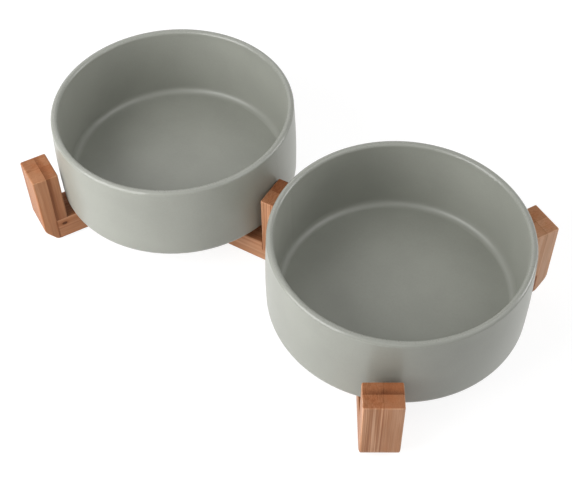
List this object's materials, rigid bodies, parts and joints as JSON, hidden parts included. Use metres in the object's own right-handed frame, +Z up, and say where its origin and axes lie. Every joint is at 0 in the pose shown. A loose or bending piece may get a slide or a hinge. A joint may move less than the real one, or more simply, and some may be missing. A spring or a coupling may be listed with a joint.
{
  "type": "double pet bowl",
  "caption": "Round ceramic pet bowls that lift out of a low bamboo stand: its bars meet in pinwheels under the bowls and short posts hold them in place.",
  "frame": {"origin": "on the ground, under the middle post", "axes": "+Z up, +X along the long beam towards the right bowl"},
  "size_m": [0.3324, 0.2224, 0.0825],
  "materials": {
    "glaze": "matte sage glaze",
    "bamboo": "oiled carbonised bamboo",
    "dowel": "plain beech",
    "pad": "matte"
  },
  "bodies": {
    "stand": {"beam": "bamboo", "middle_post": "bamboo", "left_back_arm": "bamboo", "left_front_arm": "bamboo", "right_front_arm": "bamboo", "right_back_arm": "bamboo", "left_back_post": "bamboo", "left_front_post": "bamboo", "right_front_post": "bamboo", "right_back_post": "bamboo", "middle_post_dowels": "dowel", "left_hub_dowels": "dowel", "right_hub_dowels": "dowel", "left_back_post_dowels": "dowel", "left_front_post_dowels": "dowel", "right_front_post_dowels": "dowel", "right_back_post_dowels": "dowel", "middle_pad": "pad", "left_back_pad": "pad", "left_front_pad": "pad", "right_front_pad": "pad", "right_back_pad": "pad"},
    "left_bowl": {"left_bowl": "glaze"},
    "right_bowl": {"right_bowl": "glaze"}
  },
  "joints": [
    {"name": "left_bowl_lift", "type": "slide", "parent": "stand", "child": "left_bowl", "axis": [0, 0, 1], "range_m": [0, 0.08]},
    {"name": "right_bowl_lift", "type": "slide", "parent": "stand", "child": "right_bowl", "axis": [0, 0, 1], "range_m": [0, 0.08]}
  ]
}
